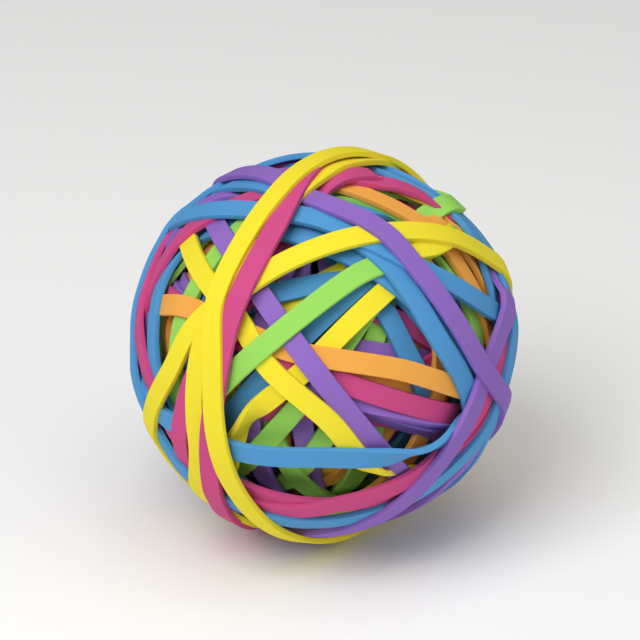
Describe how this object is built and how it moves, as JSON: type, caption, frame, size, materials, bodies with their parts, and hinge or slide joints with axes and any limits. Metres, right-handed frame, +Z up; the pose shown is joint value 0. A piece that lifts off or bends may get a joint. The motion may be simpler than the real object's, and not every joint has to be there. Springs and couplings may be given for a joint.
{
  "type": "rubber band ball",
  "caption": "Ball of coloured loop rubber bands stretched over one another in all directions; flat bands in six colours are peeled off one at a time for use.",
  "frame": {"origin": "middle of the ball", "axes": "+Z up as the ball is shown, -Y towards the front"},
  "size_m": [0.0564, 0.0562, 0.0573],
  "materials": {
    "purple_rubber": "satin purple natural-rubber band, faint powdery bloom",
    "blue_rubber": "satin blue natural-rubber band, faint powdery bloom",
    "green_rubber": "satin green natural-rubber band, faint powdery bloom",
    "yellow_rubber": "satin yellow natural-rubber band, faint powdery bloom",
    "orange_rubber": "satin orange natural-rubber band, faint powdery bloom",
    "pink_rubber": "satin pink natural-rubber band, faint powdery bloom",
    "packed_bands": "mixed coloured bands in deep shade"
  },
  "bodies": {
    "root": {"inner_bands": "packed_bands", "yellow_band_1": "yellow_rubber", "green_band_1": "green_rubber", "green_band_2": "green_rubber", "purple_band_1": "purple_rubber", "pink_band_1": "pink_rubber", "green_band_3": "green_rubber", "pink_band_2": "pink_rubber", "pink_band_3": "pink_rubber", "orange_band_1": "orange_rubber", "blue_band_1": "blue_rubber", "purple_band_2": "purple_rubber", "orange_band_2": "orange_rubber", "blue_band_2": "blue_rubber", "green_band_4": "green_rubber", "yellow_band_2": "yellow_rubber", "blue_band_3": "blue_rubber", "blue_band_4": "blue_rubber", "purple_band_3": "purple_rubber", "purple_band_4": "purple_rubber", "pink_band_4": "pink_rubber", "pink_band_5": "pink_rubber", "blue_band_5": "blue_rubber", "purple_band_5": "purple_rubber", "yellow_band_3": "yellow_rubber", "blue_band_6": "blue_rubber", "blue_band_7": "blue_rubber", "orange_band_3": "orange_rubber", "orange_band_4": "orange_rubber", "yellow_band_4": "yellow_rubber", "purple_band_6": "purple_rubber", "yellow_band_5": "yellow_rubber", "green_band_5": "green_rubber", "pink_band_6": "pink_rubber", "blue_band_8": "blue_rubber", "blue_band_9": "blue_rubber", "pink_band_7": "pink_rubber", "blue_band_10": "blue_rubber", "pink_band_8": "pink_rubber", "purple_band_7": "purple_rubber", "yellow_band_6": "yellow_rubber", "purple_band_8": "purple_rubber", "yellow_band_7": "yellow_rubber", "pink_band_9": "pink_rubber", "yellow_band_8": "yellow_rubber"}
  },
  "joints": []
}
